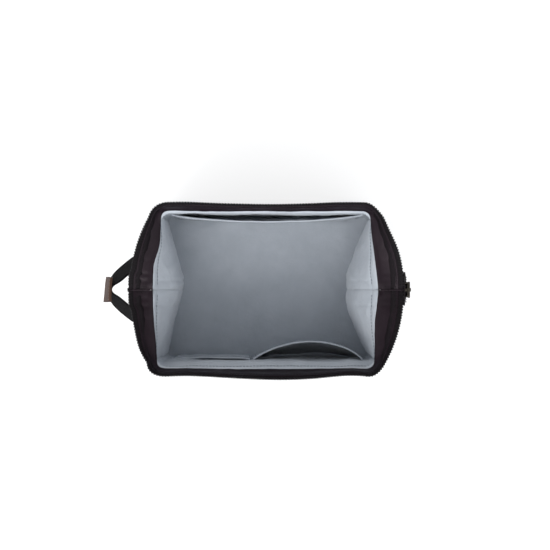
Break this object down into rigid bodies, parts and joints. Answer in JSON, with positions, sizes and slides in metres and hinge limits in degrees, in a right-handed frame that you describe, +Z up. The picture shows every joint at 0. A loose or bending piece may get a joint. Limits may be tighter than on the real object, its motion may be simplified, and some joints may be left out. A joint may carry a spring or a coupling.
{
  "type": "wire-framed organiser bag",
  "caption": "Soft box-shaped bag whose wire-framed mouth folds shut, with padded walls, a pale lining, slip pockets, a zip round the mouth and a carrying loop at one end.",
  "frame": {"origin": "centre of the flat underside", "axes": "+X towards the end where the zip slider parks, +Y towards the back wall, +Z up through the open mouth"},
  "size_m": [0.3301, 0.1844, 0.2029],
  "materials": {
    "outer_fabric": "fine plain weave, near black",
    "lining_fabric": "smooth pale blue-grey weave",
    "foam": "foam sheet, hidden between the plies",
    "board": "stiff sheet, hidden under the lining",
    "wire_steel": "spring wire, hidden in its channel",
    "cap_plastic": "moulded, hidden in the channel",
    "zip_tape": "woven tape, near black",
    "zip_teeth": "moulded, near black",
    "slider_metal": "dark gunmetal, satin",
    "webbing": "ribbed webbing, black",
    "grip_leather": "matt taupe leather"
  },
  "bodies": {
    "bag_body": {"bottom_panel": "outer_fabric", "base_board": "board", "bottom_lining": "lining_fabric", "front_outer_panel": "outer_fabric", "back_outer_panel": "outer_fabric", "front_wall_foam": "foam", "back_wall_foam": "foam", "left_end_foam": "foam", "right_end_foam": "foam", "front_lining": "lining_fabric", "back_lining": "lining_fabric", "left_gusset_lining": "lining_fabric", "right_gusset_lining": "lining_fabric", "front_left_pocket": "lining_fabric", "front_right_pocket": "lining_fabric", "back_pocket": "lining_fabric"},
    "mouth_ends": {"left_end_seam": "outer_fabric", "right_end_seam": "outer_fabric", "left_zip_end_tape": "zip_tape", "right_zip_end_tape": "zip_tape", "left_zip_end_teeth": "zip_teeth", "right_zip_end_teeth": "zip_teeth", "left_zip_end_tab": "outer_fabric", "right_zip_end_tab": "outer_fabric", "loop_anchor_pads": "webbing"},
    "front_frame": {"front_mouth_wire": "wire_steel", "front_wire_end_caps": "cap_plastic", "front_wire_channel": "lining_fabric", "front_collar_outer": "outer_fabric", "front_collar_facing": "outer_fabric", "front_zip_tape": "zip_tape", "front_zip_teeth": "zip_teeth"},
    "back_frame": {"back_mouth_wire": "wire_steel", "back_wire_end_caps": "cap_plastic", "back_wire_channel": "lining_fabric", "back_collar_outer": "outer_fabric", "back_collar_facing": "outer_fabric", "back_zip_tape": "zip_tape", "back_zip_teeth": "zip_teeth"},
    "zip_slider": {"slider_body": "slider_metal"},
    "pull": {"slider_pull": "slider_metal"},
    "carrying_loop": {"loop_webbing": "webbing", "loop_leather_grip": "grip_leather"}
  },
  "joints": [
    {"name": "mouth_drop", "type": "slide", "parent": "bag_body", "child": "mouth_ends", "axis": [0, 0, -1], "range_m": [0, 0.0945], "deforming": ["front_outer_panel", "back_outer_panel", "left_end_foam", "right_end_foam", "left_gusset_lining", "right_gusset_lining"]},
    {"name": "front_frame_fold", "type": "hinge", "parent": "mouth_ends", "child": "front_frame", "pos_m": [0, 0, 0.18], "axis": [-1, 0, 0], "range_deg": [0, 75]},
    {"name": "back_frame_fold", "type": "hinge", "parent": "mouth_ends", "child": "back_frame", "pos_m": [0, 0, 0.18], "axis": [1, 0, 0], "range_deg": [0, 75]},
    {"name": "slider_run", "type": "slide", "parent": "mouth_ends", "child": "zip_slider", "axis": [0, 0, -1], "range_m": [0, 0.009]},
    {"name": "pull_swing", "type": "hinge", "parent": "zip_slider", "child": "pull", "pos_m": [0.1511, 0, 0.167], "axis": [0, -1, 0], "range_deg": [0, 150]},
    {"name": "loop_swing", "type": "hinge", "parent": "mouth_ends", "child": "carrying_loop", "pos_m": [-0.1295, 0, 0.127], "axis": [0, 1, 0], "range_deg": [-30, 8]}
  ],
  "couplings": [
    {"joint": "back_frame_fold", "follows": "front_frame_fold", "ratio": 1},
    {"joint": "mouth_drop", "follows": "front_frame_fold", "m_per_rad": 0.072}
  ]
}
